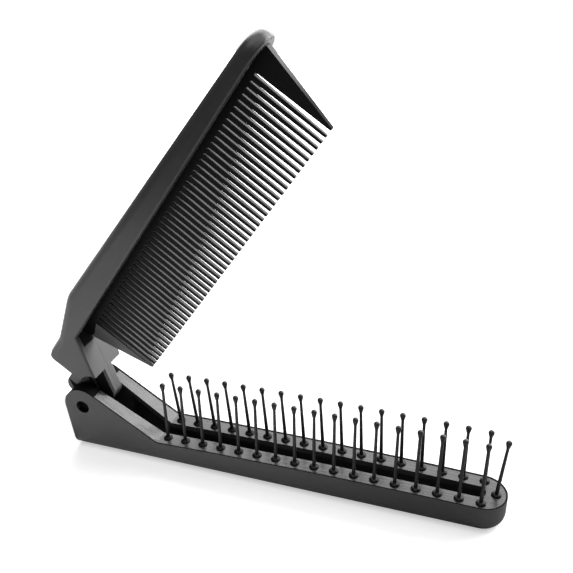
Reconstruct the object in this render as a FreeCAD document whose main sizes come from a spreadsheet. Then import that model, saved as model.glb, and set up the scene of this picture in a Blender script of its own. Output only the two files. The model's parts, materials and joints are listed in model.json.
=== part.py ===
"""Folding travel comb hinged to a pin brush.

Frame: millimetres, +Z up. The origin lies on the brush's flat underside, straight below the hinge axis.
+X runs from the hinge to the brush's tip, Y lies across the brush and along the hinge axis.
The comb half is drawn folded, about the hinge axis, and its placement opens it to the resting angle.
"""
import FreeCAD, Part
import math
import os
import re
import Sketcher

# Driving sizes in millimetres, angles in degrees
SIZES = {
    # Hinge
    "hinge_height": 13.9,
    "open_angle": 53.85,
    "ear_radius": 5.3,
    "hinge_pin_radius": 1.8,
    "hinge_pin_clear": 0.05,
    "hinge_pin_recess": 1.0,
    "clevis_width": 6.6,
    "clevis_side": 0.55,
    "clevis_drop": 8.6,
    # Brush shell
    "brush_length": 108.5,
    "brush_half": 6.85,
    "brush_tip_radius": 5.75,
    "wedge_angle": 32.85,
    "deck_drop": 7.1,
    "deck_crown": 0.6,
    "tip_rise": 0.87,
    "back_lean": 4.95,
    "heel_round": 1.0,
    "keel_round": 3.2,
    "lip": 0.4,
    "lip_step": 0.12,
    "shell_wall": 1.7,
    "shell_floor": 1.6,
    "well_start": 9.0,
    # Pin deck
    "deck_thick": 1.5,
    "deck_seat_clear": 0.03,
    "strip_start": 1.2,
    "slot_half_fold": 2.1,
    "slot_half_tip": 1.8,
    "slot_past_guard": 1.55,
    # Pins
    "pin_pitch": 5.0,
    "first_pin": 22.8,
    "row_half": 3.75,
    "row_margin": 5.5,
    "end_pin_inset": 2.65,
    "pin_lean": 4.7,
    "end_pin_lean": 3.6,
    "pin_length": 15.75,
    "ball_radius": 0.72,
    "ball_cone": 14.0,
    "shaft_root_radius": 0.47,
    "shaft_tip_radius": 0.36,
    "collar_radius": 1.2,
    "collar_height": 0.6,
    "collar_lift": 0.13,
    "dome_radius": 1.0,
    "peg_radius": 0.6,
    "peg_clear": 0.15,
    # Comb spine
    "comb_overhang": 0.1,
    "comb_half": 6.6,
    "comb_tip_radius": 5.3,
    "comb_rim": 11.4,
    "comb_end": 7.2,
    "end_corner": 0.8,
    "neck_top": 15.4,
    "slope_start": 13.5,
    "hump_start": 26.5,
    "hump_top": 19.0,
    "far_top": 15.0,
    "neck_bend": 6.0,
    "hump_bend": 9.0,
    "crown_round": 2.4,
    "rim_round": 0.6,
    "cheek_low": 1.6,
    "cheek_round": 2.6,
    "plate_angle": 53.5,
    "plate_offset": 7.72,
    "plate_top": 8.6,
    "spine_wall": 1.6,
    "channel_depth": 1.7,
    # Hinge tongue
    "tongue_width": 4.3,
    "tongue_edge": 0.8,
    "barrel_radius": 4.6,
    "lobe_radius": 2.8,
    "lobe_x": 0.77,
    "lobe_z": 5.18,
    "tongue_bevel": 0.95,
    # Blade
    "blade_root": 1.7,
    "blade_tip": 1.05,
    "blade_seat_clear": 0.03,
    "groove_depth": 0.8,
    "gap_first": 21.7,
    "gap_pitch": 1.612,
    "gap_root": 10.4,
    "gap_root_radius": 0.28,
    "gap_tip_half": 0.52,
    "end_gap_shift": 0.3,
    "tooth_tip": -8.0,
    "tooth_tip_round": 0.23,
    "end_tooth_round": 0.45,
    "blade_start": 16.2,
    "start_tooth_root": 8.8,
    "start_tooth_tip": 20.6,
    "guard_inset": 1.7,
    "guard_slant": 4.9,
    "guard_tip_width": 1.0,
    "guard_root_thick": 2.0,
    "guard_tip_thick": 1.3,
}

# Values worked out from the driving sizes
DERIVED = {
    "rim_z": "hinge_height - deck_drop",
    "bore_radius": "hinge_pin_radius + hinge_pin_clear",
    "heel_x": "(hinge_height - ear_radius * sin(back_lean)) * tan(back_lean) - ear_radius * cos(back_lean)",
    "heel_run": "heel_round * tan(45 - back_lean / 2)",
    "slope_x": "ear_radius * sin(wedge_angle)",
    "slope_z": "hinge_height + ear_radius * cos(wedge_angle)",
    "fold_x": "slope_x + (slope_z - rim_z) / tan(wedge_angle)",
    "deck_tilt": "atan(tip_rise / (brush_length - fold_x))",
    "arch_span": "(brush_length - fold_x) / cos(deck_tilt)",
    "arch_radius": "(arch_span / 2) ^ 2 / (2 * deck_crown) + deck_crown / 2",
    "arch_x": "(brush_length + fold_x) / 2 + (arch_radius - deck_crown) * sin(deck_tilt)",
    "arch_z": "rim_z + tip_rise / 2 - (arch_radius - deck_crown) * cos(deck_tilt)",
    "tip_z": "rim_z + tip_rise",
    "brush_tip_x": "brush_length - brush_tip_radius",
    "brush_taper": "acos(brush_tip_radius / sqrt(brush_half ^ 2 + brush_tip_x ^ 2)) "
                   "- atan(brush_tip_x / brush_half)",
    "comb_length": "brush_length + comb_overhang",
    "comb_tip_x": "comb_length - comb_tip_radius",
    "comb_taper": "acos(comb_tip_radius / sqrt(comb_half ^ 2 + comb_tip_x ^ 2)) "
                  "- atan(comb_tip_x / comb_half)",
    "plate_x": "plate_offset / sin(plate_angle)",
    "plate_rim_x": "plate_x + comb_rim / tan(plate_angle)",
    "plate_low_x": "plate_x + cheek_low / tan(plate_angle)",
    "channel_top": "comb_rim + channel_depth",
    "channel_start": "plate_x + plate_top / tan(plate_angle)",
    "groove_top": "channel_top + groove_depth",
    "lobe_reach": "sqrt(lobe_x ^ 2 + lobe_z ^ 2)",
    "notch_along": "(barrel_radius ^ 2 - lobe_radius ^ 2 + lobe_reach ^ 2) / (2 * lobe_reach)",
    "notch_across": "sqrt(barrel_radius ^ 2 - notch_along ^ 2)",
    "barrel_width": "clevis_width - 2 * clevis_side",
    "corner_x": "plate_x - barrel_radius / tan(plate_angle)",
    "pin_steps": "floor((brush_length - row_margin - first_pin) / pin_pitch)",
    "end_pin_x": "brush_length - end_pin_inset",
    "neck_z": "pin_length - ball_radius * sin(ball_cone) - "
              "(ball_radius * cos(ball_cone) - shaft_tip_radius) / tan(ball_cone)",
    "guard_root": "comb_length - guard_inset",
    "guard_tip": "guard_root - guard_slant",
    "slot_end": "guard_tip + slot_past_guard",
    "gap_steps": "floor((guard_tip - guard_tip_width - gap_first) / gap_pitch)",
    "gap_last": "gap_first + gap_pitch * gap_steps",
}

# Longest distance at which two places count as the same
TOUCH = 1e-4

doc = FreeCAD.newDocument("FoldingCombBrush")
sheet = doc.addObject("Spreadsheet::Sheet", "Sizes")


def fill_sheet():
    """Write the driving sizes and the formulas into the sheet, one named cell each."""
    cells = {alias: str(number) for alias, number in SIZES.items()}
    cells.update({alias: "=" + formula for alias, formula in DERIVED.items()})
    for row, (alias, content) in enumerate(cells.items(), start=1):
        sheet.set(f"A{row}", alias)
        sheet.set(f"B{row}", content)
        sheet.setAlias(f"B{row}", alias)
    doc.recompute()
    return set(cells)


NAMES = fill_sheet()


def bound(formula):
    """The formula with each size name pointing at its cell in the sheet."""
    return re.sub(r"[a-z][a-z_]+", lambda word: "Sizes." * (word.group() in NAMES) + word.group(), formula)


def number(formula):
    """The present value of a formula over the sheet's sizes."""
    return float(sheet.evalExpression(bound(formula)))


def plane_of(body, role):
    """One of the body's own origin planes or axes."""
    return next(item for item in body.Origin.OriginFeatures if item.Role == role)


def new_body(label):
    """An empty body, named for its sub-part."""
    body = doc.addObject("PartDesign::Body", label)
    body.Label = label
    return body


def new_sketch(body, name, role, lift=None):
    """A sketch on one of the body's origin planes, raised along the plane's normal."""
    sketch = body.newObject("Sketcher::SketchObject", name)
    sketch.AttachmentSupport = (plane_of(body, role), [""])
    sketch.MapMode = "FlatFace"
    if lift:
        sketch.setExpression("AttachmentOffset.Base.z", bound(lift))
    return sketch


def pin_down(sketch, edge, end, x, y):
    """Hold one end of an edge at the place that two formulas give."""
    for kind, axis, formula in (("DistanceX", -2, x), ("DistanceY", -1, y)):
        if formula == "0":
            sketch.addConstraint(Sketcher.Constraint("PointOnObject", edge, end, axis))
        else:
            place = Sketcher.Constraint(kind, -1, 1, edge, end, number(formula))
            sketch.setExpression(f"Constraints[{sketch.addConstraint(place)}]", bound(formula))


def arc_through(start, end, radius, side):
    """The shorter arc between two points, bulging to one side of the way from start to end.

    It is always drawn counter-clockwise, so an arc that bulges to the left runs from end to start.
    """
    chord = end - start
    across = FreeCAD.Vector(-chord.y, chord.x, 0).normalize()
    bulge = radius - math.sqrt(max(radius ** 2 - (chord.Length / 2) ** 2, 0))
    if side == "left":
        return Part.Arc(end, (start + end) * 0.5 + across * bulge, start)
    return Part.Arc(start, (start + end) * 0.5 - across * bulge, end)


def draw(sketch, corners):
    """Draw a closed outline and bind every corner to the sheet.

    A corner is (x, y), reached by a straight line, or (x, y, radius, side), reached by an arc that
    bulges to that side of the way travelled.
    """
    spots = [FreeCAD.Vector(number(corner[0]), number(corner[1]), 0) for corner in corners]
    ends = []
    for index, corner in enumerate(corners):
        start, finish = spots[index - 1], spots[index]
        if len(corner) == 2:
            edge = sketch.addGeometry(Part.LineSegment(start, finish), False)
        else:
            edge = sketch.addGeometry(arc_through(start, finish, number(corner[2]), corner[3]), False)
            radius = sketch.addConstraint(Sketcher.Constraint("Radius", edge, number(corner[2])))
            sketch.setExpression(f"Constraints[{radius}]", bound(corner[2]))
        forward = sketch.Geometry[edge].EndPoint.distanceToPoint(finish) < 1e-6
        ends.append((edge, 1 if forward else 2, 2 if forward else 1))
    for index, corner in enumerate(corners):
        edge, _, last = ends[index]
        following, first, _ = ends[(index + 1) % len(ends)]
        sketch.addConstraint(Sketcher.Constraint("Coincident", edge, last, following, first))
        pin_down(sketch, edge, last, corner[0], corner[1])


def draw_circle(sketch, x, y, radius):
    """Draw a circle bound to the sheet."""
    spot = FreeCAD.Vector(number(x), number(y), 0)
    edge = sketch.addGeometry(Part.Circle(spot, FreeCAD.Vector(0, 0, 1), number(radius)), False)
    size = sketch.addConstraint(Sketcher.Constraint("Radius", edge, number(radius)))
    sketch.setExpression(f"Constraints[{size}]", bound(radius))
    pin_down(sketch, edge, 3, x, y)


def add(body, kind, sketch, length, symmetric=False, turned=False):
    """A pad or pocket of a sketch, with its length bound to the sheet."""
    doc.recompute()
    before = body.Shape.Volume if body.Tip and body.Tip.isDerivedFrom("PartDesign::Feature") else 0
    feature = body.newObject(f"PartDesign::{kind}", f"{sketch.Name}{kind}")
    feature.Profile = sketch
    feature.SideType = "Symmetric" if symmetric else "One side"
    feature.Reversed = turned
    feature.setExpression("Length", bound(length))
    doc.recompute()
    grown = body.Shape.Volume - before
    if (kind == "Pad") != (grown > 0):
        raise RuntimeError(f"{feature.Name} changes the volume by {grown}")
    return feature


def round_edges(body, name, chosen, radius):
    """Fillet the edges of the body's present shape that a test chooses."""
    base = body.Tip
    edges = [f"Edge{place}" for place, edge in enumerate(base.Shape.Edges, start=1) if chosen(edge)]
    fillet = body.newObject("PartDesign::Fillet", name)
    fillet.Base = (base, edges)
    fillet.setExpression("Radius", bound(radius))
    doc.recompute()
    return fillet


def plan_outline(half, taper, centre, radius, start, inset):
    """Corners of a tapered plan with a round tip, drawn in by an inset all round.

    half is the half width at the hinge axis, centre and radius are those of the round tip.
    """
    side = f"({half} - ({inset}) / cos({taper})) - ({start}) * tan({taper})"
    tip = f"({radius} - ({inset}))"
    touch = f"{centre} + {tip} * sin({taper})"
    return [
        (start, f"-({side})"),
        (touch, f"-{tip} * cos({taper})"),
        (f"{centre} + {tip}", "0", tip, "right"),
        (touch, f"{tip} * cos({taper})", tip, "right"),
        (start, side),
    ]


def brush_plan(start, inset):
    """Plan of the brush, drawn in by an inset."""
    return plan_outline("brush_half", "brush_taper", "brush_tip_x", "brush_tip_radius", start, inset)


def comb_plan(start, inset):
    """Plan of the comb's spine, drawn in by an inset."""
    return plan_outline("comb_half", "comb_taper", "comb_tip_x", "comb_tip_radius", start, inset)


def frame_corners(left, right, low, high):
    """Corners of an upright rectangle."""
    return [(left, low), (right, low), (right, high), (left, high)]


def deck_fold(depth):
    """Where the strips and the deck meet, at a depth below the shell's outline."""
    return f"fold_x - ({depth}) * tan(wedge_angle / 2)", f"rim_z - ({depth})"


def strip_head(along, depth):
    """A point of the strips: along the slope from the ear, and deeper square to the slope."""
    return (f"slope_x + ({along}) * cos(wedge_angle) - ({depth}) * sin(wedge_angle)",
            f"slope_z - ({along}) * sin(wedge_angle) - ({depth}) * cos(wedge_angle)")


BRUSH_TOP = "hinge_height + ear_radius + lip"
BRUSH_BACK = "-ear_radius - lip"
PAST_TIP = "brush_length + ear_radius"


def brush_block():
    """The shell's outside: boat-shaped keel, hinge ears, wedge and arched rim."""
    body = new_body("BrushBlock")
    plan = new_sketch(body, "BrushPlan", "XY_Plane")
    draw(plan, brush_plan(BRUSH_BACK, "0"))
    add(body, "Pad", plan, BRUSH_TOP)
    ahead = number(BRUSH_BACK) + TOUCH
    round_edges(body, "Keel", lambda edge: edge.BoundBox.ZMax < TOUCH and edge.BoundBox.XMax > ahead,
                "keel_round")
    trim = new_sketch(body, "BrushSide", "XZ_Plane")
    below = "-ear_radius"
    draw(trim, frame_corners("-2 * ear_radius", "brush_length + 2 * ear_radius", "-2 * ear_radius",
                             "hinge_height + 2 * ear_radius"))
    draw(trim, [
        ("heel_x + heel_run", below),
        ("heel_x + heel_run", "0"),
        ("heel_x - heel_run * sin(back_lean)", "heel_run * cos(back_lean)", "heel_round", "left"),
        ("-ear_radius * cos(back_lean)", "hinge_height - ear_radius * sin(back_lean)"),
        ("slope_x", "slope_z", "ear_radius", "left"),
        ("fold_x", "rim_z"),
        ("brush_length", "tip_z", "arch_radius", "left"),
        (PAST_TIP, "tip_z"),
        (PAST_TIP, below),
    ])
    add(body, "Pocket", trim, "4 * brush_half", symmetric=True)
    return body


def deck_slab(label, inset, top, bottom, head):
    """A plate that follows the wedge and the arched rim, between two depths below the rim."""
    body = new_body(label)
    plan = new_sketch(body, f"{label}Plan", "XY_Plane")
    draw(plan, brush_plan("0", inset))
    add(body, "Pad", plan, BRUSH_TOP)
    trim = new_sketch(body, f"{label}Side", "XZ_Plane")
    draw(trim, frame_corners("-2 * ear_radius", "brush_length + 2 * ear_radius", "-2 * ear_radius",
                             "hinge_height + 2 * ear_radius"))
    draw(trim, [
        strip_head(head, bottom),
        strip_head(head, top),
        deck_fold(top),
        ("brush_length", f"tip_z - ({top})", "arch_radius", "left"),
        (PAST_TIP, f"tip_z - ({top})"),
        (PAST_TIP, f"tip_z - ({bottom})"),
        ("brush_length", f"tip_z - ({bottom})"),
        (*deck_fold(bottom), "arch_radius", "right"),
    ])
    add(body, "Pocket", trim, "4 * brush_half", symmetric=True)
    return body


def brush_shell():
    """The brush's tray: the block less the deck's seat, the well under it, the clevis and the bore."""
    block = brush_block()
    seat = deck_slab("DeckSeat", "lip", "-lip", "lip_step + deck_thick", "strip_start - deck_seat_clear")
    well = new_body("Well")
    floor = new_sketch(well, "WellPlan", "XY_Plane", "shell_floor")
    draw(floor, brush_plan("well_start", "shell_wall"))
    add(well, "Pad", floor, f"{BRUSH_TOP} - shell_floor")
    clevis = doc.addObject("Part::Box", "Clevis")
    clevis.setExpression("Length", bound("2 * ear_radius + well_start"))
    clevis.setExpression("Width", bound("clevis_width"))
    clevis.setExpression("Height", bound("clevis_drop + 2 * ear_radius"))
    clevis.setExpression("Placement.Base.x", bound("-2 * ear_radius"))
    clevis.setExpression("Placement.Base.y", bound("-clevis_width / 2"))
    clevis.setExpression("Placement.Base.z", bound("hinge_height - clevis_drop"))
    bore = doc.addObject("Part::Cylinder", "EarBore")
    bore.setExpression("Radius", bound("bore_radius"))
    bore.setExpression("Height", bound("4 * brush_half"))
    bore.Placement = FreeCAD.Placement(FreeCAD.Vector(), FreeCAD.Rotation(FreeCAD.Vector(1, 0, 0), -90))
    bore.setExpression("Placement.Base.y", bound("-2 * brush_half"))
    bore.setExpression("Placement.Base.z", bound("hinge_height"))
    hollow = doc.addObject("Part::MultiFuse", "BrushHollow")
    hollow.Shapes = [seat, well, clevis, bore]
    shell = doc.addObject("Part::Cut", "BrushShell")
    shell.Base = block
    shell.Tool = hollow
    shell.Label = "brush_shell"
    return shell


def pin_deck():
    """The plate that carries the pins, with the slot that takes the comb's teeth."""
    inset = "lip + deck_seat_clear"
    bottom = "lip_step + deck_thick - deck_seat_clear"
    deck = deck_slab("pin_deck", inset, "lip_step", bottom, "strip_start")
    slot = new_sketch(deck, "Slot", "XY_Plane")
    end = "slot_end - slot_half_tip"
    draw(slot, [
        ("-ear_radius", "-clevis_width / 2"),
        ("slope_x", "-clevis_width / 2"),
        ("fold_x", "-slot_half_fold"),
        (end, "-slot_half_tip"),
        ("slot_end", "0", "slot_half_tip", "right"),
        (end, "slot_half_tip", "slot_half_tip", "right"),
        ("fold_x", "slot_half_fold"),
        ("slope_x", "clevis_width / 2"),
        ("-ear_radius", "clevis_width / 2"),
    ])
    add(deck, "Pocket", slot, BRUSH_TOP, turned=True)
    holes = new_sketch(deck, "PinHoles", "XY_Plane")
    draw_circle(holes, "first_pin", "row_half", "peg_radius + peg_clear")
    draw_circle(holes, "first_pin", "-row_half", "peg_radius + peg_clear")
    first = add(deck, "Pocket", holes, BRUSH_TOP, turned=True)
    rows = deck.newObject("PartDesign::LinearPattern", "PinRows")
    rows.Originals = [first]
    rows.Direction = (plane_of(deck, "X_Axis"), [""])
    rows.setExpression("Length", bound("pin_pitch * pin_steps"))
    rows.setExpression("Occurrences", bound("pin_steps + 1"))
    deck.Tip = rows
    doc.recompute()
    last = new_sketch(deck, "EndPinHole", "XY_Plane")
    draw_circle(last, "end_pin_x", "0", "peg_radius + peg_clear")
    add(deck, "Pocket", last, BRUSH_TOP, turned=True)
    return deck


def brush_pin(label, x, y, lean, heading):
    """One pin: peg, domed collar, tapering shaft and ball tip, turned about its own axis.

    It stands square to the arched deck at x, then leans over towards its heading.
    """
    body = new_body(label)
    profile = new_sketch(body, f"{label}_profile", "XZ_Plane")
    ball_side = "ball_radius * cos(ball_cone)"
    draw(profile, [
        ("0", "lip_step - deck_thick"),
        ("peg_radius", "lip_step - deck_thick"),
        ("peg_radius", "collar_lift"),
        ("collar_radius", "collar_lift"),
        ("shaft_root_radius", "collar_height", "dome_radius", "right"),
        ("shaft_tip_radius", "neck_z"),
        (ball_side, "pin_length - ball_radius * sin(ball_cone)"),
        ("0", "pin_length + ball_radius", "ball_radius", "right"),
    ])
    turning = body.newObject("PartDesign::Revolution", f"{label}_turning")
    turning.Profile = profile
    turning.ReferenceAxis = (profile, ["V_Axis"])
    up = FreeCAD.Vector(0, 0, 1)
    arch = math.asin((number(x) - number("arch_x")) / number("arch_radius"))
    square = FreeCAD.Rotation(FreeCAD.Vector(0, 1, 0), math.degrees(arch))
    tilt = FreeCAD.Rotation(up.cross(heading), number(lean))
    height = number("arch_z + arch_radius - lip_step") - number("arch_radius") * (1 - math.cos(arch))
    foot = FreeCAD.Vector(number(x), number(y), height)
    body.Placement = FreeCAD.Placement(foot, square.multiply(tilt))
    return body


def brush_pins():
    """Two rows of pins that lean towards each other, and one at the tip that leans outwards."""
    across = FreeCAD.Vector(0, 1, 0)
    pins = []
    pairs = round(number("pin_steps + 1"))
    for count, place in enumerate(range(pairs), start=1):
        x = f"first_pin + pin_pitch * {place}"
        pins.append(brush_pin(f"pin_near_{count:02d}", x, "-row_half", "pin_lean", across))
        pins.append(brush_pin(f"pin_far_{count:02d}", x, "row_half", "pin_lean", -across))
    pins.append(brush_pin("pin_end", "end_pin_x", "0", "end_pin_lean", FreeCAD.Vector(1, 0, 0)))
    return pins


def hinge_pin():
    """The plain pin through both ears and the tongue, sunk below the ears' faces."""
    pin = doc.addObject("Part::Cylinder", "hinge_pin")
    pin.setExpression("Radius", bound("hinge_pin_radius"))
    pin.setExpression("Height", bound("2 * (brush_half - hinge_pin_recess)"))
    pin.Placement = FreeCAD.Placement(FreeCAD.Vector(), FreeCAD.Rotation(FreeCAD.Vector(1, 0, 0), -90))
    pin.setExpression("Placement.Base.y", bound("hinge_pin_recess - brush_half"))
    pin.setExpression("Placement.Base.z", bound("hinge_height"))
    pin.Label = "hinge_pin"
    return pin


def open_comb(body):
    """Turn a piece of the comb half from folded to the resting angle about the hinge axis."""
    body.Placement = FreeCAD.Placement(FreeCAD.Vector(), FreeCAD.Rotation(FreeCAD.Vector(0, -1, 0), 1))
    body.setExpression("Placement.Base.z", bound("hinge_height"))
    body.setExpression("Placement.Rotation.Angle", bound("open_angle") + " * 1 deg")


def comb_spine():
    """The comb's back: a channel with a humped crown, closed by the end plate, and the hinge tongue."""
    spine = new_body("comb_spine")
    plan = new_sketch(spine, "SpinePlan", "XY_Plane")
    start = "comb_end - 2 * end_corner"
    high = "hump_top + crown_round"
    draw(plan, comb_plan(start, "0"))
    add(spine, "Pad", plan, high)
    past = "comb_length + crown_round"
    crown = new_sketch(spine, "Crown", "XZ_Plane")
    draw(crown, [
        ("comb_end - 4 * end_corner", f"{high} + crown_round"),
        ("comb_end - 4 * end_corner", "neck_top"),
        ("slope_start", "neck_top"),
        ("hump_start", "hump_top"),
        ("comb_length", "far_top"),
        (past, "far_top - (hump_top - far_top) / (comb_length - hump_start) * crown_round"),
        (past, f"{high} + crown_round"),
    ])
    add(spine, "Pocket", crown, "4 * comb_half", symmetric=True)

    def ridge(corner_x):
        """Choose the crown's edge that runs across the spine at one corner."""
        spot = number(corner_x)
        return lambda edge: edge.BoundBox.XLength < TOUCH and abs(edge.BoundBox.XMin - spot) < TOUCH \
            and edge.BoundBox.ZLength < TOUCH

    round_edges(spine, "NeckBend", ridge("slope_start"), "neck_bend")
    round_edges(spine, "HumpBend", ridge("hump_start"), "hump_bend")
    above = number("far_top - crown_round")
    round_edges(spine, "CrownRound",
                lambda edge: edge.BoundBox.ZMin > above and edge.BoundBox.XLength > TOUCH, "crown_round")
    trim = new_sketch(spine, "SpineEnd", "XZ_Plane")
    draw(trim, [
        ("plate_rim_x", "comb_rim"),
        (past, "comb_rim"),
        (past, "-crown_round"),
        ("comb_end - 4 * end_corner", "-crown_round"),
        ("comb_end - 4 * end_corner", f"{high} + crown_round"),
        ("comb_end + end_corner", f"{high} + crown_round"),
        ("comb_end + end_corner", "neck_top"),
        ("comb_end", "neck_top - end_corner", "end_corner", "left"),
        ("comb_end", "cheek_low + cheek_round"),
        ("plate_low_x", "cheek_low", "cheek_round + end_corner", "left"),
    ])
    add(spine, "Pocket", trim, "4 * comb_half", symmetric=True)
    rim = number("comb_rim") + TOUCH
    round_edges(spine, "RimRound", lambda edge: edge.BoundBox.ZMax < rim and edge.BoundBox.XLength > TOUCH,
                "rim_round")
    return spine


def hinge_arm():
    """Outline of the hinge arm's back and barrel, from the spine round to the barrel's underside."""
    return [
        ("comb_end + end_corner", "lobe_z + lobe_radius"),
        ("lobe_x", "lobe_z + lobe_radius"),
        ("(notch_along * lobe_x - notch_across * lobe_z) / lobe_reach",
         "(notch_along * lobe_z + notch_across * lobe_x) / lobe_reach", "lobe_radius", "right"),
        ("-barrel_radius", "0", "barrel_radius", "right"),
        ("0", "-barrel_radius", "barrel_radius", "right"),
    ]


def finish_spine(spine):
    """Sink the channel, add the hinge barrel and the tongue, and cut the bore and the blade's groove."""
    channel = new_sketch(spine, "Channel", "XY_Plane", "plate_top")
    draw(channel, comb_plan("channel_start", "spine_wall"))
    add(spine, "Pocket", channel, "channel_top - plate_top", turned=True)
    barrel = new_sketch(spine, "Barrel", "XZ_Plane")
    draw(barrel, [
        ("barrel_radius", "0", "barrel_radius", "right"),
        ("comb_end + end_corner", "cheek_low + cheek_round"),
        *hinge_arm(),
    ])
    add(spine, "Pad", barrel, "barrel_width", symmetric=True)
    tongue = new_sketch(spine, "Tongue", "XZ_Plane")
    draw(tongue, [
        ("corner_x - tongue_bevel", "-barrel_radius"),
        ("corner_x + tongue_bevel * cos(plate_angle)", "tongue_bevel * sin(plate_angle) - barrel_radius"),
        ("channel_start", "plate_top"),
        ("channel_start", "comb_rim"),
        ("comb_end + end_corner", "comb_rim"),
        *hinge_arm(),
    ])
    add(spine, "Pad", tongue, "tongue_width", symmetric=True)
    top = number("cheek_low")
    half = number("tongue_width / 2")

    def tongue_front(edge):
        """Choose the two edges of the tongue's front, from the plate down."""
        box = edge.BoundBox
        return abs(box.ZMax - top) < TOUCH < box.ZLength and abs(abs(box.Center.y) - half) < TOUCH

    round_edges(spine, "TongueFront", tongue_front, "tongue_edge")
    bore = new_sketch(spine, "TongueBore", "XZ_Plane")
    draw_circle(bore, "0", "0", "bore_radius")
    add(spine, "Pocket", bore, "2 * barrel_width", symmetric=True)
    groove = new_sketch(spine, "BladeGroove", "XZ_Plane")
    draw(groove, [
        ("guard_root + blade_seat_clear", "tooth_tip"),
        ("guard_root + blade_seat_clear", "groove_top"),
        ("blade_start - blade_seat_clear", "groove_top"),
        ("blade_start - blade_seat_clear", "start_tooth_root"),
        ("start_tooth_tip - blade_seat_clear", "tooth_tip"),
    ])
    add(spine, "Pocket", groove, "blade_root + 2 * blade_seat_clear", symmetric=True)
    open_comb(spine)
    return spine


def add_guard(blade):
    """Thicken the last tooth into a guard, thicker at its root, and slant its outer edge."""
    section = new_sketch(blade, "GuardSection", "YZ_Plane", "gap_last")
    head = "channel_top - blade_seat_clear"
    draw(section, [
        ("-guard_root_thick / 2", head),
        ("-guard_root_thick / 2", "comb_rim"),
        ("-guard_tip_thick / 2", "tooth_tip"),
        ("guard_tip_thick / 2", "tooth_tip"),
        ("guard_root_thick / 2", "comb_rim"),
        ("guard_root_thick / 2", head),
    ])
    add(blade, "Pad", section, "guard_root - gap_last")
    slant = new_sketch(blade, "GuardSlant", "XZ_Plane")
    below = "tooth_tip - guard_tip_thick"
    draw(slant, [
        ("guard_root", "comb_rim"),
        ("guard_tip", "tooth_tip"),
        ("guard_tip", below),
        ("comb_length", below),
        ("comb_length", "comb_rim"),
    ])
    add(blade, "Pocket", slant, "2 * guard_root_thick", symmetric=True)


def cut_gap(blade, name, middle):
    """Cut one gap between teeth: round at its root, wider towards the tips, with rounded tooth tips."""
    gap = new_sketch(blade, name, "XZ_Plane")
    mouth = "tooth_tip + tooth_tip_round"
    lip = "gap_tip_half + tooth_tip_round"
    below = "tooth_tip - tooth_tip_round"
    crest = "gap_root - gap_root_radius"
    draw(gap, [
        (f"{middle} - gap_tip_half", mouth),
        (f"{middle} - ({lip})", "tooth_tip", "tooth_tip_round", "left"),
        (f"{middle} - ({lip})", below),
        (f"{middle} + {lip}", below),
        (f"{middle} + {lip}", "tooth_tip"),
        (f"{middle} + gap_tip_half", mouth, "tooth_tip_round", "left"),
        (f"{middle} + gap_root_radius", crest),
        (middle, "gap_root", "gap_root_radius", "right"),
        (f"{middle} - gap_root_radius", crest, "gap_root_radius", "right"),
    ])
    return add(blade, "Pocket", gap, "2 * guard_root_thick", symmetric=True)


def comb_blade():
    """The toothed blade: thinner towards the tips, with a wide tooth at each end."""
    blade = new_body("comb_blade")
    outline = new_sketch(blade, "BladeOutline", "XZ_Plane")
    root = "groove_top - blade_seat_clear"
    draw(outline, [
        ("blade_start", root),
        ("blade_start", "start_tooth_root"),
        ("start_tooth_tip", "tooth_tip"),
        ("guard_tip", "tooth_tip"),
        ("guard_root", "comb_rim"),
        ("guard_root", root),
    ])
    add(blade, "Pad", outline, "blade_root", symmetric=True)
    for side, sign in (("Near", "-"), ("Far", "")):
        flank = new_sketch(blade, f"{side}Flank", "YZ_Plane")
        draw(flank, [
            (f"{sign}blade_root / 2", "comb_rim"),
            (f"{sign}(blade_tip / 2)", "tooth_tip"),
            (f"{sign}(blade_tip / 2)", "tooth_tip - blade_root"),
            (f"{sign}blade_root", "tooth_tip - blade_root"),
            (f"{sign}blade_root", "comb_rim"),
        ])
        add(blade, "Pocket", flank, "4 * comb_length", symmetric=True)
    add_guard(blade)
    low = number("tooth_tip") + TOUCH
    round_edges(blade, "EndTips", lambda edge: edge.BoundBox.ZMax < low and edge.BoundBox.XLength < TOUCH,
                "end_tooth_round")
    first = cut_gap(blade, "Gap", "gap_first")
    teeth = blade.newObject("PartDesign::LinearPattern", "Teeth")
    teeth.Originals = [first]
    teeth.Direction = (plane_of(blade, "X_Axis"), [""])
    teeth.setExpression("Length", bound("gap_pitch * gap_steps"))
    teeth.setExpression("Occurrences", bound("gap_steps + 1"))
    blade.Tip = teeth
    doc.recompute()
    cut_gap(blade, "EndGap", "gap_last + end_gap_shift")
    open_comb(blade)
    return blade


def write(pieces):
    """Check the whole document and every sub-part, then write one file per sub-part."""
    doc.recompute()
    failed = [item.Label for item in doc.Objects if {"Invalid", "Error"} & set(item.State)]
    failed += [piece.Label for piece in pieces if piece.Shape.isNull() or not piece.Shape.isValid()]
    failed += [piece.Label for piece in pieces if len(piece.Shape.Solids) != 1]
    if failed:
        raise RuntimeError("failed: " + ", ".join(failed))
    os.makedirs("parts", exist_ok=True)
    for piece in pieces:
        piece.Shape.exportStep(f"parts/{piece.Label}.step")
        box = piece.Shape.BoundBox
        print(f"{piece.Label}: {piece.Shape.Volume:.1f} mm3, x {box.XMin:.2f} to {box.XMax:.2f}, "
              f"y {box.YMin:.2f} to {box.YMax:.2f}, z {box.ZMin:.2f} to {box.ZMax:.2f}")


write([brush_shell(), pin_deck(), *brush_pins(), hinge_pin(), finish_spine(comb_spine()), comb_blade()])
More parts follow.
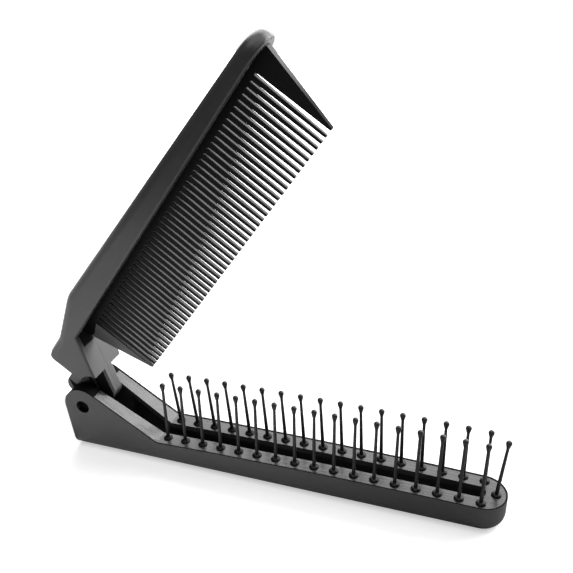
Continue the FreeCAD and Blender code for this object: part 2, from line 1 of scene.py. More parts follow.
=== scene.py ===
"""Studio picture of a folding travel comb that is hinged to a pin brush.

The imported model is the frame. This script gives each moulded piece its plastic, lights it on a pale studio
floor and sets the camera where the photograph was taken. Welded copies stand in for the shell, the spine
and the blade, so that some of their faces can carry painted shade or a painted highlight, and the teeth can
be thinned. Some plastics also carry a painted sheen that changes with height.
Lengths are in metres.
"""
import json
import logging
import math
from collections.abc import Callable
from dataclasses import dataclass
from enum import Enum
from functools import cached_property

import bpy
from mathutils import Euler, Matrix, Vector


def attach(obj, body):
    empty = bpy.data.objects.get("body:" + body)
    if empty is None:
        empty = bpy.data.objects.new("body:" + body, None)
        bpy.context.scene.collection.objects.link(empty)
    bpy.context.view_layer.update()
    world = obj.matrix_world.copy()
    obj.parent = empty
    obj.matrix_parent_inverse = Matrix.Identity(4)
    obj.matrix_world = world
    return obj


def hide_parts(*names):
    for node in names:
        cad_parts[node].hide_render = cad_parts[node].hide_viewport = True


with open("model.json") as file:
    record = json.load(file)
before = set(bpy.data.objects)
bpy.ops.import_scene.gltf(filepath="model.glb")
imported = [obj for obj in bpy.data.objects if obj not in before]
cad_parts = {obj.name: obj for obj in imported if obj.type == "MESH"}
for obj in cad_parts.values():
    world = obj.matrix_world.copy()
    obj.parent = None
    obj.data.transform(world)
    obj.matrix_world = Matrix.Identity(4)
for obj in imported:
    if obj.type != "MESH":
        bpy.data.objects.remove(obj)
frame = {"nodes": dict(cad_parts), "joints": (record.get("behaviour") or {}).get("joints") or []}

log = logging.getLogger("folding_comb")

Colour = tuple[float, float, float]
Place = tuple[float, float, float]
Span = tuple[float, float]
Sockets = dict[str | int, object]
FaceTest = Callable[[bpy.types.MeshPolygon], bool]

VALUE_SOCKET = "NodeSocketFloat"
WHITE = (1.0, 1.0, 1.0, 1.0)
# Most of a noise's values lie between these two.
NOISE_SPAN = (0.3, 0.7)
# The share of a plastic's tone that changes slowly. The rest follows its grain.
SLOW_SHARE = 0.6
# How much bluer than grey the outer plastics are.
TINT = 0.001


class SocketSide(Enum):
    """The two sides of a node group."""

    INPUT = "INPUT"
    OUTPUT = "OUTPUT"


class Operation(Enum):
    """What a maths node does, with Blender's name for it."""

    ADD = "ADD"
    SUBTRACT = "SUBTRACT"
    MULTIPLY = "MULTIPLY"
    DIVIDE = "DIVIDE"
    ABSOLUTE = "ABSOLUTE"
    LARGER = "MAXIMUM"
    BELOW = "LESS_THAN"
    DISTANCE = "DISTANCE"


class Graph:
    """Adds nodes to one node tree and joins them by socket name."""

    def __init__(self, tree: bpy.types.NodeTree) -> None:
        """Start from an empty tree.

        Args:
            tree: the tree of a material, a world or a node group.
        """
        self.tree = tree
        tree.nodes.clear()

    def add(self, kind: str, inputs: Sockets | None = None, **settings: object) -> bpy.types.Node:
        """Add one node.

        Args:
            kind: Blender's name for the node type.
            inputs: a value, or a socket to join, for each input by its name or number.
            settings: attributes of the node itself.

        Returns:
            The new node.
        """
        node = self.tree.nodes.new(kind)
        for name, setting in settings.items():
            setattr(node, name, setting)
        for name, given in (inputs or {}).items():
            socket = node.inputs[name]
            if isinstance(given, bpy.types.NodeSocket):
                self.tree.links.new(given, socket)
            else:
                socket.default_value = given
        return node

    def maths(self, operation: Operation, first: object, second: object = 0.0) -> bpy.types.NodeSocket:
        """A sum, product or other operation on one or two values.

        Args:
            operation: what is done with them.
            first: a number or a socket.
            second: a number or a socket.

        Returns:
            The result's socket.
        """
        return self.add("ShaderNodeMath", {0: first, 1: second}, operation=operation.value).outputs["Value"]

    def vectors(self, operation: Operation, first: object, second: object) -> bpy.types.NodeOutputs:
        """An operation on two vectors.

        Args:
            operation: what is done with them.
            first: a place or a socket.
            second: a place or a socket.

        Returns:
            The node's outputs, Vector and Value.
        """
        return self.add("ShaderNodeVectorMath", {0: first, 1: second}, operation=operation.value).outputs

    def weighted(self, *terms: tuple[object, float]) -> bpy.types.NodeSocket:
        """A sum of values, each with its weight.

        Args:
            terms: pairs of a socket and its weight.

        Returns:
            The sum's socket.
        """
        parts = [self.maths(Operation.MULTIPLY, value, weight) for value, weight in terms]
        total = parts[0]
        for part in parts[1:]:
            total = self.maths(Operation.ADD, total, part)
        return total

    def spread(self, value: bpy.types.NodeSocket, low: float, high: float, start: object = 0.0,
               end: object = 1.0) -> bpy.types.NodeSocket:
        """Stretch a value over another range and hold it inside.

        Args:
            value: the socket to stretch.
            low: the result at start.
            high: the result at end.
            start: the value that becomes low, a number or a socket.
            end: the value that becomes high, a number or a socket.

        Returns:
            The stretched value's socket.
        """
        ranged = self.add("ShaderNodeMapRange", {"Value": value, "From Min": start, "From Max": end,
                                                 "To Min": low, "To Max": high})
        return ranged.outputs["Result"]

    def blend(self, factor: bpy.types.NodeSocket, first: Colour, second: Colour) -> bpy.types.NodeSocket:
        """A colour between two others.

        Args:
            factor: the socket that chooses, 0 for the first.
            first: the colour at 0.
            second: the colour at 1.

        Returns:
            The colour's socket.
        """
        mix = self.add("ShaderNodeMix", {"Factor": factor}, data_type="RGBA")
        ends = [socket for socket in mix.inputs if socket.type == "RGBA"]
        for socket, colour in zip(ends, (first, second)):
            socket.default_value = (*colour, 1.0)
        return next(socket for socket in mix.outputs if socket.type == "RGBA")

    def choose(self, factor: object, first: bpy.types.NodeSocket,
               second: bpy.types.NodeSocket) -> bpy.types.NodeSocket:
        """One of two shaders.

        Args:
            factor: the socket that chooses, 0 for the first.
            first: the shader at 0.
            second: the shader at 1.

        Returns:
            The mixed shader's socket.
        """
        return self.add("ShaderNodeMixShader", {0: factor, 1: first, 2: second}).outputs["Shader"]


class Effect:
    """A surface effect that several plastics share, built once as a node group."""

    def __init__(self, name: str, inputs: dict[str, float], outputs: list[str]) -> None:
        """Make the group and its sockets.

        Args:
            name: the group's name.
            inputs: each input with its usual value.
            outputs: names of the values that the group puts out.
        """
        self.group = bpy.data.node_groups.new(name, "ShaderNodeTree")
        for title, usual in inputs.items():
            self.socket(title, SocketSide.INPUT).default_value = usual
        for title in outputs:
            self.socket(title, SocketSide.OUTPUT)
        self.graph = Graph(self.group)
        self.given = self.graph.add("NodeGroupInput").outputs
        self.spot = self.graph.add("ShaderNodeTexCoord").outputs["Object"]

    def socket(self, title: str, side: SocketSide) -> bpy.types.NodeTreeInterfaceSocket:
        """Make one of the group's sockets for a value."""
        return self.group.interface.new_socket(title, in_out=side.value, socket_type=VALUE_SOCKET)

    def noise(self, place: bpy.types.NodeSocket, scale: object, detail: float, roughness: float = 0.5,
              distortion: float = 0.0) -> bpy.types.NodeSocket:
        """A noise over the surface.

        Args:
            place: the coordinates.
            scale: a number or a socket.
            detail: how many finer layers it has.
            roughness: how strong the finer layers are.
            distortion: how far it is stirred.

        Returns:
            The noise's value, near 0.5 on average.
        """
        texture = self.graph.add("ShaderNodeTexNoise", {
            "Vector": place,
            "Scale": scale,
            "Detail": detail,
            "Roughness": roughness,
            "Distortion": distortion,
        })
        return texture.outputs["Fac"]

    def put_out(self, results: dict[str, bpy.types.NodeSocket]) -> None:
        """Join the group's results to its output sockets."""
        self.graph.add("NodeGroupOutput", results)

    def place(self, graph: Graph, values: dict[str, float]) -> bpy.types.NodeOutputs:
        """Put the effect into a material.

        Args:
            graph: the material's graph.
            values: this material's own values for the inputs.

        Returns:
            The effect's outputs.
        """
        return graph.add("ShaderNodeGroup", values, node_tree=self.group).outputs


def mould_grain() -> Effect:
    """Fine spark-eroded grain of a mould, with a slow change of tone.

    Returns:
        The effect, with the outputs Height and Tone.
    """
    effect = Effect("mould_grain", {"Scale": 5000.0, "Drift": 60.0}, ["Height", "Tone"])
    fine = effect.noise(effect.spot, effect.given["Scale"], detail=3.0, roughness=0.6)
    slow = effect.noise(effect.spot, effect.given["Drift"], detail=4.0, roughness=0.55)
    effect.put_out({"Height": fine, "Tone": slow})
    return effect


def draw_marks() -> Effect:
    """Fine streaks along the piece where it slid out of the mould.

    Returns:
        The effect, with the output Streak.
    """
    effect = Effect("draw_marks", {"Along": 40.0, "Across": 2500.0}, ["Streak"])
    along, across = effect.given["Along"], effect.given["Across"]
    stretch = effect.graph.add("ShaderNodeCombineXYZ", {"X": along, "Y": across, "Z": along})
    lines = effect.graph.vectors(Operation.MULTIPLY, effect.spot, stretch.outputs["Vector"])
    effect.put_out({"Streak": effect.noise(lines["Vector"], scale=1.0, detail=4.0, roughness=0.6)})
    return effect


def handling() -> Effect:
    """Faint rubbed patches and hairlines where fingers have polished or dulled the plastic.

    Returns:
        The effect, with the output Rub.
    """
    patch_share = 0.7
    effect = Effect("handling", {"Size": 110.0, "Hairlines": 900.0}, ["Rub"])
    patch = effect.noise(effect.spot, effect.given["Size"], detail=2.0, distortion=0.6)
    hair = effect.noise(effect.spot, effect.given["Hairlines"], detail=5.0, distortion=2.0)
    effect.put_out({"Rub": effect.graph.weighted((patch, patch_share), (hair, 1.0 - patch_share))})
    return effect


def parting_line() -> Effect:
    """The faint raised line that two halves of a mould leave along the middle of a piece.

    Returns:
        The effect, with the output Ridge.
    """
    effect = Effect("parting_line", {"Middle": 0.0, "Width": 0.00018}, ["Ridge"])
    graph = effect.graph
    across = graph.add("ShaderNodeSeparateXYZ", {0: effect.spot}).outputs["Y"]
    away = graph.maths(Operation.ABSOLUTE, graph.maths(Operation.SUBTRACT, across, effect.given["Middle"]))
    share = graph.maths(Operation.DIVIDE, away, effect.given["Width"])
    effect.put_out({"Ridge": graph.spread(share, 1.0, 0.0)})
    return effect


def height_band() -> Effect:
    """The way up a piece at rest, from one height to another.

    Returns:
        The effect, with the output Above, 0 below the band and 1 above it.
    """
    effect = Effect("height_band", {"Low": 0.0, "High": 1.0}, ["Above"])
    height = effect.graph.add("ShaderNodeSeparateXYZ", {0: effect.spot}).outputs["Z"]
    above = effect.graph.spread(height, 0.0, 1.0, effect.given["Low"], effect.given["High"])
    effect.put_out({"Above": above})
    return effect


class Effects:
    """The effects that the plastics share."""

    def __init__(self) -> None:
        """Build each effect once."""
        self.grain = mould_grain()
        self.marks = draw_marks()
        self.handling = handling()
        self.parting = parting_line()
        self.band = height_band()


@dataclass(frozen=True)
class PaintedSheen:
    """A change of finish between two heights of a piece at rest.

    Sheen weight is the weight of a glossy coat below and above, which paints a sheen that the light would
    give. Gloss is the share of the roughness that is left below.
    """

    low: float
    high: float
    sheen_weight: Span
    gloss: float = 1.0


@dataclass(frozen=True)
class Plastic:
    """One moulded plastic finish: two shades, a range of roughness, and how deep its marks are."""

    name: str
    dark: Colour
    light: Colour
    smooth: float
    dull: float
    reflect: float
    grain_scale: float = 5000.0
    depth: float = 0.000004
    streak: float = 0.0
    streak_tone: float = 0.0
    parting: float = 0.0
    painted_sheen: PaintedSheen | None = None

    def material(self, effects: Effects) -> bpy.types.Material:
        """Build the finish as a material.

        Args:
            effects: the shared surface effects.

        Returns:
            The material.
        """
        material = bpy.data.materials.new(self.name)
        material.use_nodes = True
        graph = Graph(material.node_tree)
        grain = effects.grain.place(graph, {"Scale": self.grain_scale})
        streak = effects.marks.place(graph, {})["Streak"]
        rub = effects.handling.place(graph, {})["Rub"]
        ridge = effects.parting.place(graph, {})["Ridge"]
        plain = 1.0 - self.streak_tone
        tone = graph.weighted((grain["Tone"], SLOW_SHARE * plain),
                              (grain["Height"], (1.0 - SLOW_SHARE) * plain),
                              (streak, self.streak_tone))
        height = graph.weighted((grain["Height"], 1.0), (streak, self.streak), (ridge, self.parting))
        bump = graph.add("ShaderNodeBump", {"Height": height, "Strength": 1.0, "Distance": self.depth})
        surface = {
            "Base Color": graph.blend(graph.spread(tone, 0.0, 1.0, *NOISE_SPAN), self.dark, self.light),
            "Roughness": graph.spread(rub, self.smooth, self.dull, *NOISE_SPAN),
            "Normal": bump.outputs["Normal"],
            "Specular IOR Level": self.reflect,
        }
        # A painted sheen by height, for the finishes that have one.
        if self.painted_sheen:
            surface |= self.painted_sheen_inputs(graph, effects, surface["Roughness"])
        shader = graph.add("ShaderNodeBsdfPrincipled", surface)
        graph.add("ShaderNodeOutputMaterial", {"Surface": shader.outputs["BSDF"]})
        return material

    def painted_sheen_inputs(self, graph: Graph, effects: Effects, rough: bpy.types.NodeSocket) -> Sockets:
        """The shader's inputs that change with height, which paint a sheen that the light would give.

        Args:
            graph: the material's graph.
            effects: the shared surface effects.
            rough: the roughness above the fade.

        Returns:
            The inputs by name.
        """
        above = effects.band.place(graph, {"Low": self.painted_sheen.low, "High": self.painted_sheen.high})["Above"]
        gloss = graph.spread(above, self.painted_sheen.gloss, 1.0)
        return {
            "Roughness": graph.maths(Operation.MULTIPLY, rough, gloss),
            "Coat Weight": graph.spread(above, *self.painted_sheen.sheen_weight),
            "Coat Roughness": self.dull,
        }


def grey(level: float, tint: float = 0.0) -> Colour:
    """A grey of one level, or one a little bluer than that."""
    return (level, level, level + tint)


SHELL = Plastic("satin_black_shell", grey(0.018, TINT), grey(0.034, TINT), smooth=0.36, dull=0.5,
                reflect=0.95)
# Painted shade: the lip round the deck and the tops of the ears are darker and duller, where a groove's
# shadow falls.
LIP_PAINTED_SHADE = Plastic("lip_painted_shade", grey(0.003), grey(0.006), smooth=0.6, dull=0.8, reflect=0.08)
DECK = Plastic("grained_black_deck", grey(0.004), grey(0.075, TINT), smooth=0.2, dull=0.3, reflect=0.58,
               grain_scale=3600.0, depth=0.00001, streak=5.0, streak_tone=0.75)
# Painted shade and sheen: the pins stay dull at the collars round their feet, which paints them dark, and a
# glossy coat on the shafts above paints a lighter sheen.
PIN = Plastic("black_pin_painted_sheen_and_shade", grey(0.006), grey(0.012), smooth=0.24, dull=0.36, reflect=0.08,
              painted_sheen=PaintedSheen(low=0.0078, high=0.0105, sheen_weight=(0.0, 0.95), gloss=0.3))
# Painted shade: the hinge pin is darker than the other plastics, so that its recess in the ear looks shaded.
PIVOT_PAINTED_SHADE = Plastic("pivot_painted_shade", grey(0.002), grey(0.004), smooth=0.5, dull=0.7, reflect=0.04)
# Painted sheen: a glossy coat on the lower spine fades out towards the far end, which paints it darker
# there.
SPINE = Plastic("satin_black_spine_painted_sheen", grey(0.016, TINT), grey(0.03, TINT), smooth=0.32, dull=0.46,
                reflect=0.66, parting=18.0, painted_sheen=PaintedSheen(low=0.064, high=0.08, sheen_weight=(0.68, 0.0)))
# Painted shade: the hinge barrel and the tongue's sides, deep between the ears, are darker and duller.
BARREL_PAINTED_SHADE = Plastic("barrel_painted_shade", grey(0.003), grey(0.006), smooth=0.55, dull=0.75, reflect=0.1)
BLADE = Plastic("dull_black_blade", grey(0.004), grey(0.008), smooth=0.36, dull=0.5, reflect=0.16)
# Painted sheen: the guard's outer edge gets a glossy coat near the crown and is darker towards the teeth
# tips.
GUARD = Plastic("guard_edge_painted_sheen", grey(0.004), grey(0.008), smooth=0.36, dull=0.5, reflect=0.02,
                painted_sheen=PaintedSheen(low=0.0965, high=0.104, sheen_weight=(0.0, 0.6)))
# Painted highlight: a lighter, glossier strip down the middle of each tooth's flank.
FLANK_PAINTED_HIGHLIGHT = Plastic("flank_painted_highlight", grey(0.008), grey(0.014), smooth=0.3, dull=0.42, reflect=0.3)
# Painted shade: the rest of the faces between the teeth are darker and duller.
TOOTH_SIDE_PAINTED_SHADE = Plastic("tooth_side_painted_shade", grey(0.003), grey(0.006), smooth=0.5, dull=0.65, reflect=0.04)
# Painted highlight: the wide tooth by the hinge is coloured much lighter than the blade, as if lit.
EDGE_TOOTH_PAINTED_HIGHLIGHT = Plastic("edge_tooth_painted_highlight", grey(0.1), grey(0.14), smooth=0.3, dull=0.42, reflect=1.0)


def dress(node: str, material: bpy.types.Material) -> None:
    """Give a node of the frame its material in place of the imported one.

    Args:
        node: the node's name.
        material: its finish.
    """
    mesh = frame["nodes"][node].data
    mesh.materials.clear()
    mesh.materials.append(material)
    log.info("dressed %s with %s", node, material.name)


@dataclass(frozen=True)
class Moulding:
    """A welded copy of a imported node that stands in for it, so that its faces can differ in finish."""

    node: str
    name: str
    body: str
    slot: str
    weld: float = 1e-6
    crease: float = 30.0

    def cast(self) -> bpy.types.Object:
        """Copy the node and weld its triangles.

        Returns:
            The new piece, selected and active.
        """
        piece = bpy.data.objects.new(self.name, frame["nodes"][self.node].data.copy())
        bpy.context.scene.collection.objects.link(piece)
        bpy.ops.object.select_all(action="DESELECT")
        piece.select_set(True)
        bpy.context.view_layer.objects.active = piece
        bpy.ops.object.mode_set(mode="EDIT")
        bpy.ops.mesh.select_all(action="SELECT")
        bpy.ops.mesh.remove_doubles(threshold=self.weld)
        bpy.ops.mesh.customdata_custom_splitnormals_clear()
        bpy.ops.object.mode_set(mode="OBJECT")
        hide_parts(self.node)
        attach(piece, self.body)
        return piece

    def smooth(self, piece: bpy.types.Object) -> None:
        """Shade the active piece smooth, with its creases kept and its flat faces even.

        Args:
            piece: the piece to shade.
        """
        bpy.ops.object.shade_smooth_by_angle(angle=math.radians(self.crease))
        even = piece.modifiers.new("even_shading", "WEIGHTED_NORMAL")
        even.keep_sharp = True
        bpy.ops.object.modifier_apply(modifier=even.name)

    def paint(self, piece: bpy.types.Object, main: bpy.types.Material,
              patches: list[tuple[bpy.types.Material, FaceTest]]) -> None:
        """Give the piece its finish, and some faces another.

        Args:
            piece: the piece to paint.
            main: the finish of most faces.
            patches: other finishes, each with the test of its faces. The first one that a face meets holds.
        """
        mesh = piece.data
        mesh.materials.clear()
        for material in (main, *(finish for finish, _ in patches)):
            mesh.materials.append(material)
        for face in mesh.polygons:
            hits = (number for number, (_, chosen) in enumerate(patches, start=1) if chosen(face))
            face.material_index = next(hits, 0)
        log.info("moulded %s in %d finishes", piece.name, len(mesh.materials))


@dataclass(frozen=True)
class BrushHalf:
    """The brush: its shell, the slotted deck, the rows of pins and the hinge pin."""

    lip_rise: float = 0.6
    lip_low: float = 0.005
    pin_names: tuple[str, ...] = ("pin_near_", "pin_far_", "pin_end")
    shell: Moulding = Moulding("brush_shell", "shell_moulding", "brush", "shell")

    def on_lip(self, face: bpy.types.MeshPolygon) -> bool:
        """Whether a face of the shell lies on the lip round the deck or on top of the ears."""
        return face.normal.z > self.lip_rise and face.center.z > self.lip_low

    def build(self, effects: Effects) -> None:
        """Mould and dress the brush.

        Args:
            effects: the shared surface effects.
        """
        piece = self.shell.cast()
        self.shell.smooth(piece)
        # The lip faces of the shell get painted shade.
        self.shell.paint(piece, SHELL.material(effects), [(LIP_PAINTED_SHADE.material(effects), self.on_lip)])
        dress("pin_deck", DECK.material(effects))
        # The hinge pin carries painted shade.
        dress("hinge_pin", PIVOT_PAINTED_SHADE.material(effects))
        # The pins carry painted shade at their collars and a painted sheen on their shafts.
        nylon = PIN.material(effects)
        for node in frame["nodes"]:
            if node.startswith(self.pin_names):
                dress(node, nylon)


@dataclass(frozen=True)
class CombHalf:
    """The comb: its channel-shaped spine with the hinge tongue, and the toothed blade.

    Along and up are lengths from the hinge axis in the comb's own directions: along to its far end, and up
    from its teeth to its crown. A facing is how squarely a face looks that way, 1 where it looks straight.
    """

    hinge: str = "comb_fold"
    rest_angle: float = 53.85
    barrel_reach: float = 0.0048
    tongue_half: float = 0.0026
    side_facing: float = 0.9
    edge_tooth: float = 0.02115
    edge_tooth_top: float = 0.0095
    edge_share: float = 0.15
    first_gap: float = 0.0217
    last_gap: float = 0.101
    gap_root: float = 0.0103
    gap_facing: float = 0.5
    guard_facing: float = 0.5
    shoulder: float = 0.0082
    tooth_share: float = 0.84
    flank_half: float = 0.0003
    spine: Moulding = Moulding("comb_spine", "spine_moulding", "comb", "spine")
    blade: Moulding = Moulding("comb_blade", "blade_moulding", "comb", "blade")

    @cached_property
    def axis(self) -> Vector:
        """The middle of the hinge axis, as the frame gives it."""
        return Vector(next(joint["pos_m"] for joint in frame["joints"] if joint["name"] == self.hinge))

    @cached_property
    def along(self) -> Vector:
        """The way along the comb, from the hinge to the far end."""
        angle = math.radians(self.rest_angle)
        return Vector((math.cos(angle), 0.0, math.sin(angle)))

    @cached_property
    def up(self) -> Vector:
        """The way up the comb, from its teeth to its crown."""
        return Vector((-self.along.z, 0.0, self.along.x))

    def along_and_up(self, spot: Vector) -> Span:
        """A spot's lengths along and up."""
        arm = spot - self.axis
        return arm.dot(self.along), arm.dot(self.up)

    def on_barrel(self, face: bpy.types.MeshPolygon) -> bool:
        """Whether a face of the spine belongs to the hinge barrel or to a side of the tongue."""
        tongue_side = abs(face.normal.y) > self.side_facing and abs(face.center.y) < self.tongue_half
        return tongue_side or math.hypot(*self.along_and_up(face.center)) < self.barrel_reach

    def on_edge_tooth(self, face: bpy.types.MeshPolygon) -> bool:
        """Whether a face of the blade belongs to the wide tooth by the hinge."""
        along, up = self.along_and_up(face.center)
        return along < self.edge_tooth and up < self.edge_tooth_top

    def on_guard_edge(self, face: bpy.types.MeshPolygon) -> bool:
        """Whether a face of the blade lies on the outer edge of the guard at the far end."""
        along, _ = self.along_and_up(face.center)
        return along > self.last_gap and face.normal.dot(self.along) > self.guard_facing

    def in_gap(self, face: bpy.types.MeshPolygon) -> bool:
        """Whether a face of the blade looks into a gap between teeth."""
        along, up = self.along_and_up(face.center)
        between = self.first_gap < along < self.last_gap and up < self.gap_root
        return between and abs(face.normal.y) < self.gap_facing

    def on_flank(self, face: bpy.types.MeshPolygon) -> bool:
        """Whether a face of the blade lies in the middle of a tooth's flank, between the painted shade at
        its edges.
        """
        return self.in_gap(face) and abs(face.center.y) < self.flank_half

    def score(self, spot: Vector, way: Vector) -> None:
        """Cut the faces of the active piece at a plane, and leave nothing selected.

        Args:
            spot: a point of the plane.
            way: the plane's normal.
        """
        bpy.ops.object.mode_set(mode="EDIT")
        bpy.ops.mesh.select_mode(type="VERT")
        bpy.ops.mesh.select_all(action="SELECT")
        bpy.ops.mesh.bisect(plane_co=spot, plane_no=way)
        bpy.ops.mesh.select_all(action="DESELECT")
        bpy.ops.object.mode_set(mode="OBJECT")

    def thin(self, piece: bpy.types.Object, share: float, chosen: Callable[[float, float], bool]) -> None:
        """Bring the chosen corners of the active blade towards its middle.

        Args:
            piece: the blade.
            share: the share of the thickness that is left.
            chosen: the test of a corner's lengths along and up.
        """
        for vertex in piece.data.vertices:
            vertex.select = chosen(*self.along_and_up(vertex.co))
        bpy.ops.object.mode_set(mode="EDIT")
        bpy.ops.transform.resize(value=(1.0, share, 1.0), center_override=(0.0, 0.0, 0.0))
        bpy.ops.object.mode_set(mode="OBJECT")

    def shape_teeth(self, piece: bpy.types.Object) -> None:
        """Thin the fine teeth and the wide tooth by the hinge, and score the flanks where painted shade and
        highlight meet.

        The fine teeth are thinned below their shoulder, and the wide tooth towards its outer edge.

        Args:
            piece: the blade, active.
        """
        slack = self.blade.weld
        self.score(self.axis + self.up * self.shoulder, self.up)
        self.thin(piece, self.tooth_share, lambda along, up: (
            self.first_gap < along < self.last_gap and up < self.shoulder + slack))
        self.score(self.axis + self.along * self.edge_tooth, self.along)
        self.thin(piece, self.edge_share, lambda along, up: (
            along < self.edge_tooth - slack and up < self.edge_tooth_top))
        for side in (-self.flank_half, self.flank_half):
            self.score(Vector((0.0, side, 0.0)), Vector((0.0, 1.0, 0.0)))

    def build(self, effects: Effects) -> None:
        """Mould and dress the comb.

        Args:
            effects: the shared surface effects.
        """
        back = self.spine.cast()
        self.spine.smooth(back)
        # The barrel and the tongue's sides get painted shade.
        self.spine.paint(back, SPINE.material(effects), [(BARREL_PAINTED_SHADE.material(effects), self.on_barrel)])
        teeth = self.blade.cast()
        self.shape_teeth(teeth)
        self.blade.smooth(teeth)
        # The wide tooth and the middles of the flanks get painted highlights, the rest of the gaps painted
        # shade, and the guard edge a painted sheen.
        self.blade.paint(teeth, BLADE.material(effects), [
            (EDGE_TOOTH_PAINTED_HIGHLIGHT.material(effects), self.on_edge_tooth),
            (GUARD.material(effects), self.on_guard_edge),
            (FLANK_PAINTED_HIGHLIGHT.material(effects), self.on_flank),
            (TOOTH_SIDE_PAINTED_SHADE.material(effects), self.in_gap),
        ])


@dataclass(frozen=True)
class Softbox:
    """A square-cornered studio light of even brightness."""

    name: str
    place: Place
    aim: Place
    width: float
    height: float
    brightness: float

    def build(self) -> None:
        """Hang the light and turn it to its aim."""
        lamp = bpy.data.lights.new(self.name, "AREA")
        lamp.shape = "RECTANGLE"
        lamp.size = self.width
        lamp.size_y = self.height
        lamp.energy = self.brightness * math.pi * self.width * self.height
        light = bpy.data.objects.new(self.name, lamp)
        light.location = self.place
        light.rotation_euler = (Vector(self.aim) - Vector(self.place)).to_track_quat("-Z", "Y").to_euler()
        light.visible_camera = False
        bpy.context.scene.collection.objects.link(light)


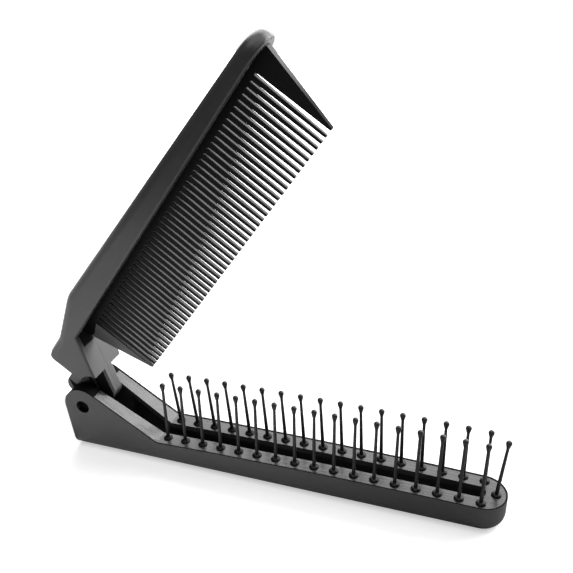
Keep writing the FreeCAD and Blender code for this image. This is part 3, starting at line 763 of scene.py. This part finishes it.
@dataclass(frozen=True)
class Studio:
    """Pale floor, soft light and the camera."""

    floor_front: float = -0.15
    floor_back: float = 0.5
    floor_half_width: float = 1.2
    floor_shade: float = 0.86
    seen_shade: float = 0.85
    seen_glow: float = 0.5
    shadow_middle: Place = (0.05, 0.0, 0.0)
    shadow_reach: Span = (0.16, 0.3)
    gap_end: float = -0.0055
    gap_half: float = 0.012
    dark_card: Place = (0.115, -0.02, 0.0)
    dark_card_reach: Span = (0.02, 0.1)
    dark_card_shade: Span = (0.3, 1.0)
    room_level: float = 0.18
    lens: float = 47.09
    sensor: float = 36.0
    sight: Span = (0.005, 20.0)
    eye: Place = (0.10688, -0.13695, 0.13425)
    turn: Place = (61.509, 1.732, 19.498)
    softboxes: tuple[Softbox, ...] = (
        Softbox("back_softbox", place=(0.0, 0.56, 0.36), aim=(0.05, 0.0, 0.02),
                width=0.9, height=0.62, brightness=3.2),
        Softbox("top_softbox", place=(0.05, -0.08, 0.75), aim=(0.05, 0.0, 0.0),
                width=0.7, height=0.7, brightness=1.7),
        Softbox("right_softbox", place=(0.5, 0.46, 0.36), aim=(0.03, 0.0, 0.03),
                width=0.5, height=0.7, brightness=5.5),
    )

    def matt(self, graph: Graph, shade: object, glow: object = 0.0) -> bpy.types.NodeSocket:
        """A matt pale surface that may also glow.

        Args:
            graph: the floor's graph.
            shade: the share of light that it scatters back, a number or a socket.
            glow: its own even light, a number or a socket.

        Returns:
            The shader's socket.
        """
        tone = graph.add("ShaderNodeCombineColor", {"Red": shade, "Green": shade, "Blue": shade})
        plain = graph.add("ShaderNodeBsdfDiffuse", {"Color": tone.outputs["Color"]})
        own = graph.add("ShaderNodeEmission", {"Strength": glow})
        both = graph.add("ShaderNodeAddShader", {0: plain.outputs["BSDF"], 1: own.outputs["Emission"]})
        return both.outputs["Shader"]

    def gap(self, graph: Graph, spot: bpy.types.NodeSocket) -> bpy.types.NodeSocket:
        """The mask of the floor's gap, which leaves room for the opened comb behind the heel.

        Args:
            graph: the floor's graph.
            spot: the coordinates.

        Returns:
            The mask's socket, 1 in the gap.
        """
        place = graph.add("ShaderNodeSeparateXYZ", {0: spot}).outputs
        behind = graph.maths(Operation.BELOW, place["X"], self.gap_end)
        between = graph.maths(Operation.BELOW, graph.maths(Operation.ABSOLUTE, place["Y"]), self.gap_half)
        return graph.maths(Operation.MULTIPLY, behind, between)

    def floor_material(self) -> bpy.types.Material:
        """White to the camera with the object's soft shadow, and pale to all else.

        Reflections see a dark card lying in front of the brush's tip. The back of the opened comb hangs
        below the brush, so the floor is clear there.

        Returns:
            The material.
        """
        material = bpy.data.materials.new("pale_floor")
        material.use_nodes = True
        graph = Graph(material.node_tree)
        path = graph.add("ShaderNodeLightPath").outputs
        spot = graph.add("ShaderNodeTexCoord").outputs["Object"]
        off_shadow = graph.vectors(Operation.DISTANCE, spot, self.shadow_middle)["Value"]
        off_card = graph.vectors(Operation.DISTANCE, spot, self.dark_card)["Value"]
        glow = graph.spread(off_shadow, self.seen_glow, 1.0, *self.shadow_reach)
        mirrored_shade = graph.spread(off_card, *self.dark_card_shade, *self.dark_card_reach)
        mirrored = graph.maths(Operation.LARGER, path["Is Glossy Ray"], path["Is Transmission Ray"])
        pale = self.matt(graph, self.floor_shade)
        surface = graph.choose(mirrored, pale, self.matt(graph, mirrored_shade))
        surface = graph.choose(path["Is Camera Ray"], surface, self.matt(graph, self.seen_shade, glow))
        clear = graph.add("ShaderNodeBsdfTransparent").outputs["BSDF"]
        surface = graph.choose(self.gap(graph, spot), surface, clear)
        graph.add("ShaderNodeOutputMaterial", {"Surface": surface})
        return material

    def floor(self) -> None:
        """Lay the floor."""
        bpy.ops.object.select_all(action="DESELECT")
        middle = (self.floor_front + self.floor_back) / 2
        bpy.ops.mesh.primitive_plane_add(size=2.0, location=(0.0, middle, 0.0))
        floor = bpy.context.active_object
        floor.name = "studio_floor"
        floor.scale = (self.floor_half_width, (self.floor_back - self.floor_front) / 2, 1.0)
        bpy.ops.object.transform_apply(location=True, rotation=True, scale=True)
        floor.data.materials.append(self.floor_material())

    def world(self) -> None:
        """Fill the room with a weak even light, white where the camera sees past the floor."""
        world = bpy.data.worlds.new("studio_room")
        world.use_nodes = True
        graph = Graph(world.node_tree)
        room, seen = (graph.add("ShaderNodeBackground", {"Color": WHITE, "Strength": level})
                      for level in (self.room_level, 1.0))
        path = graph.add("ShaderNodeLightPath").outputs
        straight = graph.maths(Operation.LARGER, path["Is Camera Ray"], path["Is Transmission Ray"])
        surface = graph.choose(straight, room.outputs["Background"], seen.outputs["Background"])
        graph.add("ShaderNodeOutputWorld", {"Surface": surface})
        bpy.context.scene.world = world

    def camera(self) -> None:
        """Set the camera where the photograph was taken."""
        lens = bpy.data.cameras.new("photo_camera")
        lens.sensor_width = self.sensor
        lens.sensor_fit = "HORIZONTAL"
        lens.lens = self.lens
        lens.clip_start, lens.clip_end = self.sight
        camera = bpy.data.objects.new("photo_camera", lens)
        camera.location = self.eye
        camera.rotation_euler = Euler([math.radians(angle) for angle in self.turn])
        bpy.context.scene.collection.objects.link(camera)
        bpy.context.scene.camera = camera

    def build(self) -> None:
        """Set up the whole studio."""
        self.floor()
        self.world()
        for softbox in self.softboxes:
            softbox.build()
        self.camera()
        bpy.context.scene.view_settings.view_transform = "Standard"


def main() -> None:
    """Build the dressed model and the studio."""
    logging.basicConfig(level=logging.INFO, format="%(name)s: %(message)s")
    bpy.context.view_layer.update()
    effects = Effects()
    BrushHalf().build(effects)
    CombHalf().build(effects)
    Studio().build()
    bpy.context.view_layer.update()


if __name__ == "__main__":
    main()
